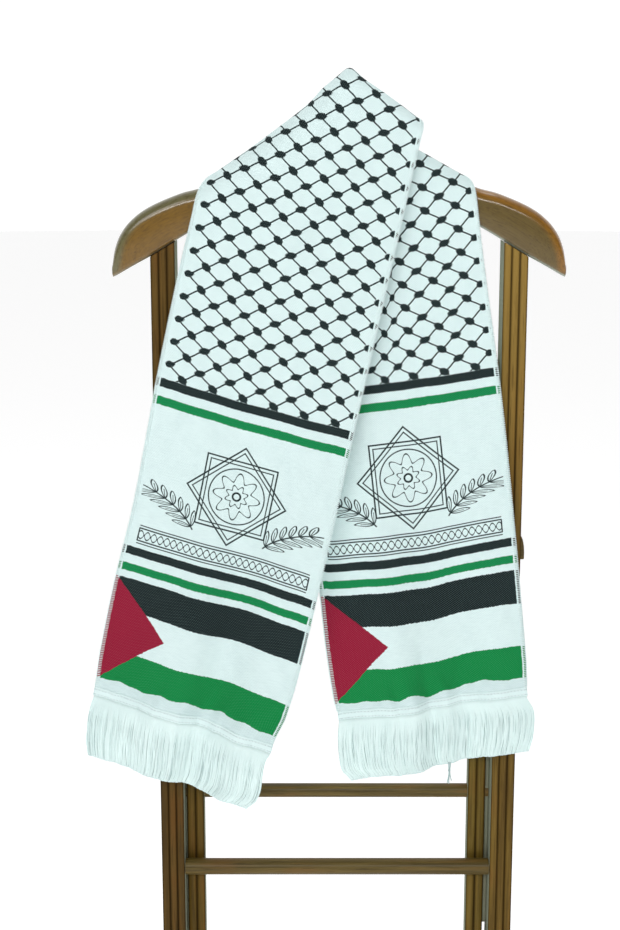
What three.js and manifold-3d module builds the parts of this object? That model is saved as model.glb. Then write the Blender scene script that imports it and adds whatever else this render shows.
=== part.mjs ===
// Long woven scarf, crossed once, on a reeded wooden valet stand. Millimetres, +Z up.
// The front of the object faces -Y, the floor is z = 0 and the stand is centred on x = 0.
import * as THREE from "three";
import { mergeVertices } from "three/addons/utils/BufferGeometryUtils.js";
import Module from "manifold-3d";

const wasm = await Module();
wasm.setup();

const SEAT = 0.3; // gap left between two pieces that touch
const CENTRE_SHIFT = 18.9; // the stand's middle lies this far along +X
const SEAM = 0.8; // between two stretches of cloth

// ---------- stand: sizes ----------
const FOOT = { length: 300, height: 28, inner: 139, outer: 192, bevel: 2.5, toe: 12, slope: 32 };
const OUTER_LEG = { x: 175.5, width: 24.6, depth: 36, reeds: 3, y: 0 };
// the frame of the inner legs stands a little off the middle
const INNER_LEG = { x: 150.9, width: 18.6, depth: 19, reeds: 2, y: 9.7, top: 813.7, shift: -1.3 };
const REED_SINK = 1.6;
// flat strips that close the gap between an inner and an outer leg, lapped behind the outer one
const SPACER = { y: 20.3, depth: 4, lap: 8, top: 813.7, rightBottom: 211, leftBottom: 185 };
const RAIL = { half: 162.9, bottom: 814, top: 832, depth: 18, y: 9.7 };
const UPPER_DOWEL = { radius: 7.5, y: 9.7, z: 364.6, half: 162.9 };
const LOWER_DOWEL = { radius: 8.8, y: -8.9, z: 285, half: 162.9 };
const KNOB = { z: 640, height: 26, proud: 4.6, depth: 15 };
const YOKE = { round: 9, underRound: 5.4, socketDepth: 80 };
const POST = { radius: 11, bottom: 1040, collar: 1066, flare: 1074, shoulder: 1100.2, waist: 8.5 };

// the yoke's cross-sections from the middle out to the tip; the other arm mirrors them
const YOKE_SECTIONS = [
  { x: 0, top: 1063, under: 1012, depth: 30 },
  { x: 30, top: 1052, under: 1009, depth: 30 },
  { x: 90, top: 1026, under: 993, depth: 30 },
  { x: 133, top: 1008.4, under: 973, depth: 30 },
  { x: 143, top: 1005.6, under: 967.5, depth: 30 },
  { x: 157, top: 1001.3, under: 958.8, depth: 30 },
  { x: 180, top: 992.7, under: 944.8, depth: 30 },
  { x: 195, top: 984.8, under: 936.2, depth: 30 },
  { x: 205, top: 977.2, under: 930.6, depth: 29 },
  { x: 213, top: 968.9, under: 926, depth: 28 },
  { x: 220, top: 958.3, under: 922.4, depth: 25 },
  { x: 224.5, top: 944.5, under: 920, depth: 21 },
  { x: 226, top: 933, under: 919, depth: 16 },
];

// ---------- scarf: sizes ----------
const WIDTH = 205; // across the weave, from edge E1 (v = 0) to edge E2 (v = WIDTH)
const WALL = 1.5;
const TAPE = 9.5; // end tape below the woven hem
const FRINGE = 69;
const BEHIND = { high: 17, low: 9, swell: 5 }; // how far back the cloth lies behind the yoke, by column
const APEX_V = 121; // the column that goes over the neck post
const BAND_V = 92; // widest column that stays in the stretch behind the neck
const GATHER = { from: 94, keep: 0.17, start: 290, end: 520 };
const RIPPLE = { forward: 1.8, across: 74, along: 95, left: 0.6, right: 2.1 }; // soft waves of a panel
// a column slips along the fold line, fully from this far off APEX_V, or BAND_V less beyond
const SLIDE = { over: 60, beyond: 30 };

// each front panel is ruled between its two long edges, hem (u = 0) to shoulder; an edge leaves
// the straight line from hem to top sideways by the shifts of its sway table; draw is how far
// tape and fringe close in per millimetre of their fall
const LEFT = {
  hem: { e1: [-247, -30, 496.4], e2: [-71.6, -66, 446] },
  top: { e1: [-138.1, -18.5, 1005.1], e2: [79, -24.5, 1068.2] },
  length: { e1: 519.7, e2: 640 },
  draw: { e1: 0.074, e2: -0.08 },
  sway: {
    e1: [
      { u: 0, x: -5.8 },
      { u: 40, x: -7.6 },
      { u: 120, x: -7 },
      { u: 200, x: -3.4 },
      { u: 330, x: -4.7 },
      { u: 440, x: -3.9 },
      { u: 520, x: -1.5 },
    ],
    e2: [
      { u: 0, x: 4.6 },
      { u: 30, x: 10.8 },
      { u: 90, x: 13.2 },
      { u: 210, x: 11.3 },
      { u: 316, x: 8.7 },
      { u: 436, x: 6.2 },
      { u: 520, x: 4.6 },
      { u: 640, x: 2.5 },
    ],
  },
};
const RIGHT = {
  hem: { e1: [193, -28, 495], e2: [3.2, -28, 467.5] },
  top: { e1: [134, -17.6, 1010], e2: [-61.8, -17.6, 983.2] },
  length: { e1: 518.4, e2: 518.4 },
  draw: { e1: -0.03, e2: 0.01 },
  sway: {
    e1: [
      { u: 0, x: 3.6 },
      { u: 30, x: 5.3 },
      { u: 250, x: 5.7 },
      { u: 340, x: 4.2 },
      { u: 440, x: 0.6 },
      { u: 520, x: -1 },
    ],
    e2: [
      { u: 0, x: -3.6 },
      { u: 14, x: -5.4 },
      { u: 70, x: -6.7 },
      { u: 120, x: -5.8 },
      { u: 300, x: -3 },
      { u: 520, x: 0 },
    ],
  },
};

// fold line over the shoulders, seen from the front
const LEFT_RIDGE = [
  { x: -190, z: 975 },
  { x: -138, z: 1011.1 },
  { x: -88, z: 1043 },
  { x: -40, z: 1078 },
  { x: -16, z: 1103 },
  { x: 10, z: 1124 },
  { x: 45, z: 1096 },
  { x: 79, z: 1070 },
  { x: 120, z: 1038 },
];
const RIGHT_RIDGE = [
  { x: -10, z: 1128 },
  { x: 14, z: 1098 },
  { x: 34, z: 1071 },
  { x: 60, z: 1053 },
  { x: 90, z: 1037 },
  { x: 134, z: 1012.5 },
  { x: 170, z: 992 },
];

// ---------- small maths ----------
const lerp = (a, b, t) => a + (b - a) * t;
const mix = (p, q, t) => p.map((value, i) => lerp(value, q[i], t));
const clamp01 = (t) => Math.min(1, Math.max(0, t));
const smooth = (from, to, value) => {
  const t = clamp01((value - from) / (to - from));
  return t * t * (3 - 2 * t);
};

// height of a ridge table at x, with a rounded corner from a short moving average
function heightAt(table, x) {
  let i = 0;
  while (i < table.length - 2 && x > table[i + 1].x) i += 1;
  const t = (x - table[i].x) / (table[i + 1].x - table[i].x);
  return lerp(table[i].z, table[i + 1].z, t);
}
function ridgeHeight(table, x) {
  const reach = 7;
  let sum = 0;
  for (let k = -2; k <= 2; k += 1) sum += heightAt(table, x + (k * reach) / 2);
  return sum / 5;
}

// ---------- scarf: form ----------
// smooth curve through a table of { u, x }, level at both of its ends
function swayAt(table, u) {
  const last = table.length - 1;
  const at = Math.min(Math.max(u, table[0].u), table[last].u);
  let i = 0;
  while (i < last - 1 && at > table[i + 1].u) i += 1;
  const slope = (k) => {
    if (k === 0 || k === last) return 0;
    return (table[k + 1].x - table[k - 1].x) / (table[k + 1].u - table[k - 1].u);
  };
  const span = table[i + 1].u - table[i].u;
  const t = (at - table[i].u) / span;
  const ease = t * t * (3 - 2 * t);
  const start = slope(i) * span * t * (1 - t) * (1 - t);
  const end = slope(i + 1) * span * t * t * (1 - t);
  return lerp(table[i].x, table[i + 1].x, ease) + start - end;
}
function edgePoint(side, edge, u) {
  const p = mix(side.hem[edge], side.top[edge], u / side.length[edge]);
  p[0] += swayAt(side.sway[edge], u);
  return p;
}
function panelPoint(side, u, v) {
  let across = v / WIDTH;
  if (side === RIGHT && v > GATHER.from) {
    const pull = smooth(GATHER.start, GATHER.end, u);
    const kept = lerp(1, GATHER.keep, pull);
    across = (GATHER.from + (v - GATHER.from) * kept) / WIDTH;
  }
  const p = mix(edgePoint(side, "e1", u), edgePoint(side, "e2", u), across);
  const calm = smooth(0, 60, u) * (1 - smooth(330, 470, u));
  const phase = side === LEFT ? RIPPLE.left : RIPPLE.right;
  p[1] += RIPPLE.forward * calm * Math.sin((v / RIPPLE.across) * Math.PI + u / RIPPLE.along + phase);
  return p;
}

// one lengthwise thread of a panel: where it starts to bend over the shoulder, and how
function columnBend(side, v) {
  const table = side === LEFT ? LEFT_RIDGE : RIGHT_RIDGE;
  const reach = 14;
  let low = 380;
  let high = 760;
  for (let i = 0; i < 40; i += 1) {
    const mid = (low + high) / 2;
    const p = panelPoint(side, mid, v);
    if (p[2] < ridgeHeight(table, p[0])) low = mid;
    else high = mid;
  }
  const at = panelPoint(side, low, v);
  const before = panelPoint(side, low - 10, v);
  const rise = ridgeHeight(table, at[0] + reach) - ridgeHeight(table, at[0] - reach);
  const along = new THREE.Vector2(2 * reach, rise).normalize();
  const out = new THREE.Vector2(-along.y, along.x);
  const run = new THREE.Vector2(at[0] - before[0], at[2] - before[2]).divideScalar(10);
  const outRun = Math.max(0.35, run.dot(out));
  const alongRun = run.dot(along);
  const behind = side === LEFT ? lerp(BEHIND.high, BEHIND.low, smooth(104, 144, v)) : BEHIND.high;
  const radius = (behind - at[1]) / 2;
  const start = low - radius / outRun;
  const away = side === LEFT ? Math.abs(v - APEX_V) : SLIDE.beyond + Math.max(0, BAND_V - v);
  const slide = (alongRun / outRun) * clamp01(away / SLIDE.over);
  return { along, out, outRun, radius, start, slide };
}

// point of the scarf past the start of the bend, by the angle turned
function bendPoint(side, v, bend, angle) {
  const base = panelPoint(side, bend.start, v);
  const lift = bend.radius * Math.sin(Math.min(angle, Math.PI));
  const shift = bend.slide * bend.radius * Math.min(angle, Math.PI);
  const back = bend.radius * (1 - Math.cos(Math.min(angle, Math.PI)));
  const drop = Math.max(0, angle - Math.PI) * bend.radius;
  return [
    base[0] + bend.out.x * (lift - drop) + bend.along.x * shift,
    base[1] + back,
    base[2] + bend.out.y * (lift - drop) + bend.along.y * shift,
  ];
}

const FRONT_ROWS = 22;
const BEND_ROWS = 10;
const COLUMNS = 20;

function panelGrid(side) {
  const grid = [];
  for (let i = 0; i <= FRONT_ROWS + BEND_ROWS; i += 1) {
    const row = [];
    for (let j = 0; j <= COLUMNS; j += 1) {
      const v = (WIDTH * j) / COLUMNS;
      const bend = columnBend(side, v);
      let full = Math.PI;
      if (side === LEFT) full += 0.2 * smooth(116, 144, v);
      else full = lerp(Math.PI, 1.5, smooth(BAND_V, BAND_V + 45, v));
      if (i <= FRONT_ROWS) row.push(panelPoint(side, (bend.start * i) / FRONT_ROWS, v));
      else row.push(bendPoint(side, v, bend, (full * (i - FRONT_ROWS)) / BEND_ROWS));
    }
    grid.push(row);
  }
  return grid;
}

// the stretch behind the neck runs from the end of one bend to the end of the other
const BAND_ROWS = 24;
const BAND_COLUMNS = 12;

function bandEnd(side, v) {
  const bend = columnBend(side, v);
  const end = new THREE.Vector3(...bendPoint(side, v, bend, Math.PI));
  const prior = new THREE.Vector3(...bendPoint(side, v, bend, Math.PI - 0.05));
  return { end, way: end.clone().sub(prior).normalize() };
}
function bandPoint(t, v) {
  const a = bandEnd(LEFT, v);
  const b = bandEnd(RIGHT, v);
  a.end.addScaledVector(a.way, SEAM);
  b.end.addScaledVector(b.way, SEAM);
  const pull = a.end.distanceTo(b.end) * 0.75;
  const t2 = t * t;
  const t3 = t2 * t;
  const p = a.end.clone().multiplyScalar(2 * t3 - 3 * t2 + 1);
  p.addScaledVector(a.way, pull * (t3 - 2 * t2 + t));
  p.addScaledVector(b.end, 3 * t2 - 2 * t3);
  p.addScaledVector(b.way, -pull * (t3 - t2));
  p.y += BEHIND.swell * Math.sin(Math.PI * t) * Math.sin((Math.PI * v) / (2 * BAND_V));
  return p.toArray();
}
function bandGrid() {
  const grid = [];
  for (let i = 0; i <= BAND_ROWS; i += 1) {
    const row = [];
    for (let j = 0; j <= BAND_COLUMNS; j += 1) {
      row.push(bandPoint(i / BAND_ROWS, (BAND_V * j) / BAND_COLUMNS));
    }
    grid.push(row);
  }
  return grid;
}

// ---------- closed solids from grids ----------
function wall(grid, thickness) {
  const rows = grid.length;
  const cols = grid[0].length;
  const at = (i, j) => new THREE.Vector3(...grid[i][j]);
  const positions = [];
  for (const sign of [1, -1]) {
    for (let i = 0; i < rows; i += 1) {
      for (let j = 0; j < cols; j += 1) {
        const du = at(Math.min(i + 1, rows - 1), j).sub(at(Math.max(i - 1, 0), j));
        const dv = at(i, Math.min(j + 1, cols - 1)).sub(at(i, Math.max(j - 1, 0)));
        const normal = du.cross(dv).normalize();
        const p = at(i, j).addScaledVector(normal, (sign * thickness) / 2);
        positions.push(p.x, p.y, p.z);
      }
    }
  }
  const index = [];
  const id = (face, i, j) => face * rows * cols + i * cols + j;
  const quad = (a, b, c, d) => index.push(a, b, c, a, c, d);
  for (let i = 0; i < rows - 1; i += 1) {
    for (let j = 0; j < cols - 1; j += 1) {
      quad(id(0, i, j), id(0, i + 1, j), id(0, i + 1, j + 1), id(0, i, j + 1));
      quad(id(1, i, j), id(1, i, j + 1), id(1, i + 1, j + 1), id(1, i + 1, j));
    }
  }
  for (let i = 0; i < rows - 1; i += 1) {
    quad(id(0, i, 0), id(1, i, 0), id(1, i + 1, 0), id(0, i + 1, 0));
    quad(id(0, i, cols - 1), id(0, i + 1, cols - 1), id(1, i + 1, cols - 1), id(1, i, cols - 1));
  }
  for (let j = 0; j < cols - 1; j += 1) {
    quad(id(0, 0, j), id(0, 0, j + 1), id(1, 0, j + 1), id(1, 0, j));
    quad(id(0, rows - 1, j), id(1, rows - 1, j), id(1, rows - 1, j + 1), id(0, rows - 1, j + 1));
  }
  return outward(positions, index);
}
function turnOver(index) {
  for (let k = 0; k < index.length; k += 3) {
    const second = index[k + 1];
    index[k + 1] = index[k + 2];
    index[k + 2] = second;
  }
}
function outward(positions, index) {
  const geometry = new THREE.BufferGeometry();
  geometry.setAttribute("position", new THREE.Float32BufferAttribute(positions, 3));
  let volume = 0;
  const p = (k) => new THREE.Vector3().fromArray(positions, 3 * index[k]);
  for (let k = 0; k < index.length; k += 3) volume += p(k).dot(p(k + 1).cross(p(k + 2)));
  if (volume < 0) turnOver(index);
  geometry.setIndex(index);
  geometry.computeVertexNormals();
  return geometry;
}

// hem tape and fringe hang from the woven end, in the plane of the panel's last rows
function endGrid(side, from, to, rows) {
  const grid = [];
  for (let i = 0; i <= rows; i += 1) {
    const drop = lerp(from, to, i / rows);
    const row = [];
    for (let j = 0; j <= COLUMNS; j += 1) {
      const v = (WIDTH * j) / COLUMNS;
      const p = panelPoint(side, 0, v);
      const way = [0, 2].map((axis) => {
        const fall = (edge) => (side.hem[edge][axis] - side.top[edge][axis]) / side.length[edge];
        return lerp(fall("e1"), fall("e2"), v / WIDTH) * drop;
      });
      const pull = drop * lerp(side.draw.e1, side.draw.e2, v / WIDTH);
      row.push([p[0] + way[0] + pull, p[1], p[2] + way[1]]);
    }
    grid.push(row);
  }
  return grid;
}

// ---------- manifold helpers ----------
function toSolid(geometry) {
  let plain = geometry.clone();
  for (const name of ["normal", "uv"]) plain.deleteAttribute(name);
  plain = mergeVertices(plain, 1e-3);
  const mesh = new wasm.Mesh({
    numProp: 3,
    vertProperties: new Float32Array(plain.attributes.position.array),
    triVerts: new Uint32Array(plain.index.array),
  });
  return new wasm.Manifold(mesh);
}
function toGeometry(solid) {
  const mesh = solid.getMesh();
  const geometry = new THREE.BufferGeometry();
  const places = new THREE.Float32BufferAttribute(mesh.vertProperties, 3);
  geometry.setAttribute("position", places);
  geometry.setIndex(Array.from(mesh.triVerts));
  geometry.computeVertexNormals();
  return geometry;
}
function rod(radius, length, axis, centre, sides = 32) {
  const geometry = new THREE.CylinderGeometry(radius, radius, length, sides);
  if (axis === "x") geometry.rotateZ(Math.PI / 2);
  if (axis === "z") geometry.rotateX(Math.PI / 2);
  return geometry.translate(...centre);
}

// ---------- stand: shapes ----------
function reededLeg(leg, bottom, topAt) {
  const half = leg.width / 2;
  const reed = leg.width / leg.reeds;
  const steps = 7;
  const outline = new THREE.Shape();
  const edge = leg.depth / 2;
  for (const face of [-1, 1]) {
    for (let r = 0; r < leg.reeds; r += 1) {
      for (let k = 0; k <= steps; k += 1) {
        const t = k / steps;
        const y = face * (edge - REED_SINK + REED_SINK * Math.sin(Math.PI * t) ** 0.6);
        const side = face < 0 ? -half + reed * (r + t) : half - reed * (r + t);
        if (face < 0 && r === 0 && k === 0) outline.moveTo(side, y);
        else if (k > 0 || r === 0) outline.lineTo(side, y);
      }
    }
  }
  outline.closePath();
  const geometry = new THREE.ExtrudeGeometry(outline, { depth: 1, bevelEnabled: false, steps: 1 });
  const place = geometry.attributes.position;
  for (let i = 0; i < place.count; i += 1) {
    const z = place.getZ(i) < 0.5 ? bottom : topAt(leg.x + place.getX(i));
    place.setXYZ(i, leg.x + place.getX(i), leg.y + place.getY(i), z);
  }
  geometry.computeVertexNormals();
  return geometry;
}
const mirrored = (geometry) => {
  const copy = toGeometry(toSolid(geometry));
  const place = copy.attributes.position;
  for (let i = 0; i < place.count; i += 1) place.setX(i, -place.getX(i));
  turnOver(copy.index.array);
  copy.computeVertexNormals();
  return copy;
};

// closed solid through rings of equal point count, with flat ends
function loft(rings) {
  const count = rings[0].length;
  const positions = rings.flat().flatMap((p) => p);
  const index = [];
  for (let i = 0; i < rings.length - 1; i += 1) {
    for (let j = 0; j < count; j += 1) {
      const a = i * count + j;
      const b = i * count + ((j + 1) % count);
      index.push(a, b, b + count, a, b + count, a + count);
    }
  }
  const last = (rings.length - 1) * count;
  for (let j = 1; j < count - 1; j += 1) {
    index.push(0, j + 1, j);
    index.push(last, last + j, last + j + 1);
  }
  return outward(positions, index);
}
function yokeRing(x) {
  const table = YOKE_SECTIONS;
  const away = Math.abs(x);
  let k = 0;
  while (k < table.length - 2 && away > table[k + 1].x) k += 1;
  const t = (away - table[k].x) / (table[k + 1].x - table[k].x);
  const top = lerp(table[k].top, table[k + 1].top, t);
  const under = lerp(table[k].under, table[k + 1].under, t);
  const depth = lerp(table[k].depth, table[k + 1].depth, t);
  const ring = [];
  const steps = 5;
  for (const [sy, sz] of [[1, 1], [-1, 1], [-1, -1], [1, -1]]) {
    const across = Math.min(YOKE.round, depth * 0.4);
    const high = across * (sz > 0 ? 1 : YOKE.underRound / YOKE.round);
    const cy = sy * (depth / 2 - across);
    const cz = sz > 0 ? top - high : under + high;
    for (let step = 0; step <= steps; step += 1) {
      const turn = (Math.PI / 2) * (sy * sz > 0 ? step / steps : 1 - step / steps);
      ring.push([x, cy + sy * across * Math.cos(turn), cz + sz * high * Math.sin(turn)]);
    }
  }
  return ring;
}
function yokeSolid() {
  const arm = [20, 45, 90, 115, 133, 143, 157, 180, 195, 205, 213, 220, 224.5, 226];
  const stations = [...arm.map((x) => -x).reverse(), 0, ...arm];
  const middle = POST.bottom - SEAT + YOKE.socketDepth / 2;
  const socket = rod(POST.waist + SEAT, YOKE.socketDepth, "z", [0, 0, middle]);
  return toGeometry(toSolid(loft(stations.map(yokeRing))).subtract(toSolid(socket)));
}
function underYoke(x) {
  const ring = yokeRing(x);
  return Math.min(...ring.map((p) => p[2])) - SEAT;
}

function postSolid() {
  const profile = [new THREE.Vector2(0, POST.bottom), new THREE.Vector2(POST.waist, POST.bottom)];
  profile.push(new THREE.Vector2(POST.waist, POST.collar));
  profile.push(new THREE.Vector2(POST.waist + 0.6, POST.flare));
  const rounds = 10;
  for (let k = 0; k <= rounds; k += 1) {
    const angle = lerp(-0.9, Math.PI / 2, k / rounds);
    const r = k === rounds ? 0 : POST.radius * Math.cos(angle);
    profile.push(new THREE.Vector2(r, POST.shoulder + POST.radius * Math.sin(angle)));
  }
  return new THREE.LatheGeometry(profile, 32).rotateX(Math.PI / 2);
}

function footSolid() {
  const half = FOOT.length / 2;
  const side = new THREE.Shape();
  side.moveTo(-half, 0);
  side.lineTo(half, 0);
  side.lineTo(half, FOOT.toe);
  side.quadraticCurveTo(half - 2, FOOT.height - 3, half - FOOT.slope, FOOT.height);
  side.lineTo(-half + FOOT.slope, FOOT.height);
  side.quadraticCurveTo(-half + 2, FOOT.height - 3, -half, FOOT.toe);
  side.closePath();
  const wide = FOOT.outer - FOOT.inner - 2 * FOOT.bevel;
  const geometry = new THREE.ExtrudeGeometry(side, {
    depth: wide,
    bevelThickness: FOOT.bevel,
    bevelSize: FOOT.bevel,
    bevelOffset: -FOOT.bevel,
    bevelSegments: 3,
    curveSegments: 8,
  });
  geometry.translate(0, 0, -wide / 2);
  geometry.rotateX(Math.PI / 2);
  geometry.rotateZ(Math.PI / 2);
  return geometry.translate((FOOT.inner + FOOT.outer) / 2, 0, 0);
}

function knobSolid() {
  const half = KNOB.height / 2;
  const side = new THREE.Shape();
  side.moveTo(0, -half);
  side.lineTo(KNOB.proud - 1, -half);
  side.quadraticCurveTo(KNOB.proud, -half, KNOB.proud, -half + 2);
  side.quadraticCurveTo(KNOB.proud + 0.4, half - 5, 0, half);
  side.closePath();
  const geometry = new THREE.ExtrudeGeometry(side, { depth: KNOB.depth, bevelEnabled: false });
  geometry.translate(0, 0, -KNOB.depth / 2);
  geometry.rotateX(Math.PI / 2);
  const face = OUTER_LEG.x + OUTER_LEG.width / 2 + SEAT;
  return geometry.translate(face, 0, KNOB.z);
}

// ---------- assembly ----------
const part = new THREE.Group();
const model = new THREE.Group(); // set so that the whole object's box is centred on the origin
model.position.x = CENTRE_SHIFT;
part.add(model);
const paint = {
  wood: { color: "#9a6c3a", roughness: 0.45, metalness: 0 },
  yoke: { color: "#8a6a45", roughness: 0.4, metalness: 0 },
  cloth: { color: "#dfe9e4", roughness: 0.85, metalness: 0 },
  tape: { color: "#e6ecea", roughness: 0.9, metalness: 0 },
  fringe: { color: "#e9efec", roughness: 0.95, metalness: 0 },
};
function add(name, geometry, look) {
  const mesh = new THREE.Mesh(geometry, new THREE.MeshStandardMaterial(paint[look]));
  mesh.name = name;
  model.add(mesh);
}
function addPair(name, geometry, look, shift = 0) {
  add(`${name}_left`, mirrored(geometry).translate(shift, 0, 0), look);
  add(`${name}_right`, geometry.translate(shift, 0, 0), look);
}
function spacer(from, to, bottom) {
  const strip = new THREE.BoxGeometry(to - from, SPACER.depth, SPACER.top - bottom);
  return strip.translate((from + to) / 2, SPACER.y, (SPACER.top + bottom) / 2);
}

const footTop = FOOT.height + SEAT;
addPair("foot", footSolid(), "wood");
addPair("outer_leg", reededLeg(OUTER_LEG, footTop, underYoke), "wood");
const innerLeg = toSolid(reededLeg(INNER_LEG, footTop, () => INNER_LEG.top));
const hole = rod(UPPER_DOWEL.radius + SEAT, 60, "x", [INNER_LEG.x, UPPER_DOWEL.y, UPPER_DOWEL.z]);
addPair("inner_leg", toGeometry(innerLeg.subtract(toSolid(hole))), "wood", INNER_LEG.shift);
const lapEnd = OUTER_LEG.x - OUTER_LEG.width / 2 + SPACER.lap;
const innerFace = INNER_LEG.x + INNER_LEG.width / 2 + SEAT;
add("leg_spacer_right", spacer(innerFace + INNER_LEG.shift, lapEnd, SPACER.rightBottom), "wood");
add("leg_spacer_left", spacer(-lapEnd, INNER_LEG.shift - innerFace, SPACER.leftBottom), "wood");
addPair("side_knob", knobSolid(), "wood");
for (const [name, dowel] of [["upper_dowel", UPPER_DOWEL], ["lower_dowel", LOWER_DOWEL]]) {
  add(name, rod(dowel.radius, 2 * dowel.half, "x", [0, dowel.y, dowel.z]), "wood");
}
const rail = new THREE.BoxGeometry(2 * RAIL.half, RAIL.depth, RAIL.top - RAIL.bottom);
add("rail", rail.translate(0, RAIL.y, (RAIL.top + RAIL.bottom) / 2), "wood");
add("yoke", yokeSolid(), "yoke");
add("neck_post", postSolid(), "yoke");

add("scarf_front_left", wall(panelGrid(LEFT), WALL), "cloth");
add("scarf_front_right", wall(panelGrid(RIGHT), WALL), "cloth");
add("scarf_back", wall(bandGrid(), WALL), "cloth");
for (const [name, side] of [["left", LEFT], ["right", RIGHT]]) {
  add(`end_tape_${name}`, wall(endGrid(side, SEAT, TAPE, 1), 2), "tape");
  add(`fringe_${name}`, wall(endGrid(side, TAPE + SEAT, TAPE + FRINGE, 4), 3.5), "fringe");
}

export default part;
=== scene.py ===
"""Looks of a long woven scarf, crossed once over the yoke of a reeded wooden valet stand.

The tables are in millimetres, in the stand's own frame: +Z up, front towards -Y, the stand's
middle at x = 0. Meshes are made in metres, moved along +X by CENTRE_SHIFT.
"""

import math
from functools import partialmethod

import bpy
import numpy as np
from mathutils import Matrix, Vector


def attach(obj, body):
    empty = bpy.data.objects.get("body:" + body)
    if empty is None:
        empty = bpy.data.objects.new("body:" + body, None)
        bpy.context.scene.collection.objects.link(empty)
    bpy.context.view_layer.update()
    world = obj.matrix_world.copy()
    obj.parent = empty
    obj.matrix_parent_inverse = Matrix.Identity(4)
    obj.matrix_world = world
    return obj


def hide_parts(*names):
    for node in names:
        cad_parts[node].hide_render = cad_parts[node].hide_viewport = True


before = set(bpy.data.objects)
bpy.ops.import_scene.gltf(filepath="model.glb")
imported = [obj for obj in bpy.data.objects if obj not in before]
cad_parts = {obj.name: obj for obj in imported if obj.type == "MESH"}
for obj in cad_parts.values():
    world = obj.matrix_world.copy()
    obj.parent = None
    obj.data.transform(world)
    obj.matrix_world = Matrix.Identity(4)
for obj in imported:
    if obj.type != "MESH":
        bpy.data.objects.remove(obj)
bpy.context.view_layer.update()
scene = bpy.context.scene
rng = np.random.default_rng(11)

MM = 0.001
CENTRE_SHIFT = 18.9
TAU = 2 * math.pi


def chart(columns, *rows):
    """Rows of values under named columns, each row as a dictionary."""
    return [dict(zip(columns.split(), row)) for row in rows]


# ---------- scarf: sizes, mm ----------
WIDTH = 205.0  # from edge E1 (v = 0) to edge E2 (v = WIDTH)
CLOTH = 1.2  # thickness
TAPE = 9.5  # end tape below the woven hem
SEAMS = (2.2, 7.4)  # how far down the tape its two rows of stitches run
# how far back the cloth comes down behind the neck and behind the post, and its swell between
BEHIND = {"high": 17, "low": -1, "swell": 5, "threads": (104, 144)}
APEX_V = 121  # the thread that goes over the neck post
BAND_V = 92  # the threads up to this one run on behind the neck
# the right panel is drawn in beyond one thread: share of width kept, heights it is drawn in between
GATHER = {"from": 94, "keep": 0.17, "start": 290, "end": 520}
# distance from the apex at which the cloth lies along the ridge again, and the right panel's start
SLIDE = {"over": 60, "beyond": 30}
RIDGE_REACH = 4  # the corners of a ridge are eased over this length
WAVE = {"forward": 1.8, "across": 74, "along": 95}  # soft waves of a whole panel
FOLD_UP = 300  # height at which a fold's second place is given
PUCKER = {
    "lean": 0.25, "half": 6.0, "above": 7, "spread": 210, "forward": 1.5, "creep": 1.2, "top": 60,
}

# hem, top, length and sway have an entry for each long edge, E1 and E2; sway is (height, shift)
LEFT = {
    "name": "left",
    "seeds": {"fringe": 21, "tape": 18},
    "hem": [(-247, -30, 496.4), (-71.6, -66, 446)],
    "top": [(-138.1, -18.5, 1005.1), (79, -24.5, 1068.2)],
    "length": [519.7, 640],
    "sway": [
        [(0, -5.8), (40, -7.6), (120, -7), (200, -3.4), (330, -4.7), (440, -3.9), (520, -1.5)],
        [(0, 4.6), (30, 10.8), (90, 13.2), (210, 11.3), (316, 8.7), (436, 6.2), (520, 4.6), (640, 2.5)],
    ],
    "ridge": [
        (-190, 975), (-138, 1011.1), (-88, 1045), (-51.5, 1071.7), (-34.5, 1084.1), (-21.9, 1098.1),
        (-6.7, 1110.8), (9.5, 1124.5), (23.6, 1111.5), (41.3, 1100), (58.3, 1088), (79.7, 1072),
        (120, 1041),
    ],
    "wave_phase": 0.6,
}
RIGHT = {
    "name": "right",
    "seeds": {"fringe": 22, "tape": 12},
    "hem": [(193, -28, 495), (3.2, -28, 467.5)],
    "top": [(134, -17.6, 1010), (-61.8, -17.6, 983.2)],
    "length": [518.4, 518.4],
    "sway": [
        [(0, 3.6), (30, 5.3), (250, 5.7), (340, 4.2), (440, 0.6), (520, -1)],
        [(0, -3.6), (14, -5.4), (70, -6.7), (120, -5.8), (300, -3), (520, 0)],
    ],
    "ridge": [
        (-10, 1128), (14, 1098), (34, 1071), (60, 1053), (90, 1037), (134, 1012.5), (170, 992),
    ],
    "wave_phase": 2.1,
}

# soft folds that run up each front panel: middle at the hem and at FOLD_UP, half width, how far
# forward (back if negative), and the heights between which they fade in and out
FOLDS = {
    "left": chart(
        "hem up half forward from to",
        (130, 118, 25, -12, -90, 330),
        (84, 80, 26, 4, -90, 300),
        (168, 160, 20, 4, -90, 300),
        (30, 22, 18, -3, -90, 180),
        (60, 96, 9, 1.4, 240, 430),
        (150, 140, 8, -1.5, 260, 450),
        (114, 114, 11, -2.4, 470, 575),
    ),
    "right": chart(
        "hem up half forward from to",
        (134, 140, 28, 12, -90, 330),
        (66, 60, 26, -5, -90, 300),
        (140, 142, 7, -2.2, -20, 70),
        (108, 106, 7, -2.4, -20, 90),
        (70, 72, 8, -2.0, -20, 80),
        (26, 30, 14, 2, -60, 200),
    ),
}
# puckers along the hem: places across, and how far each stands forward
PUCKERS = {
    "left": [
        (24, 1.6), (52, -1.3), (71, 1.8), (98, 1.2), (118, -1.4), (139, 2.0), (166, 1.1), (184, -1.0),
    ],
    "right": [
        (18, -1.0), (43, 1.5), (63, 1.0), (86, 1.9), (104, -1.6), (121, 1.6), (146, 1.4), (171, 1.2),
    ],
}

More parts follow.
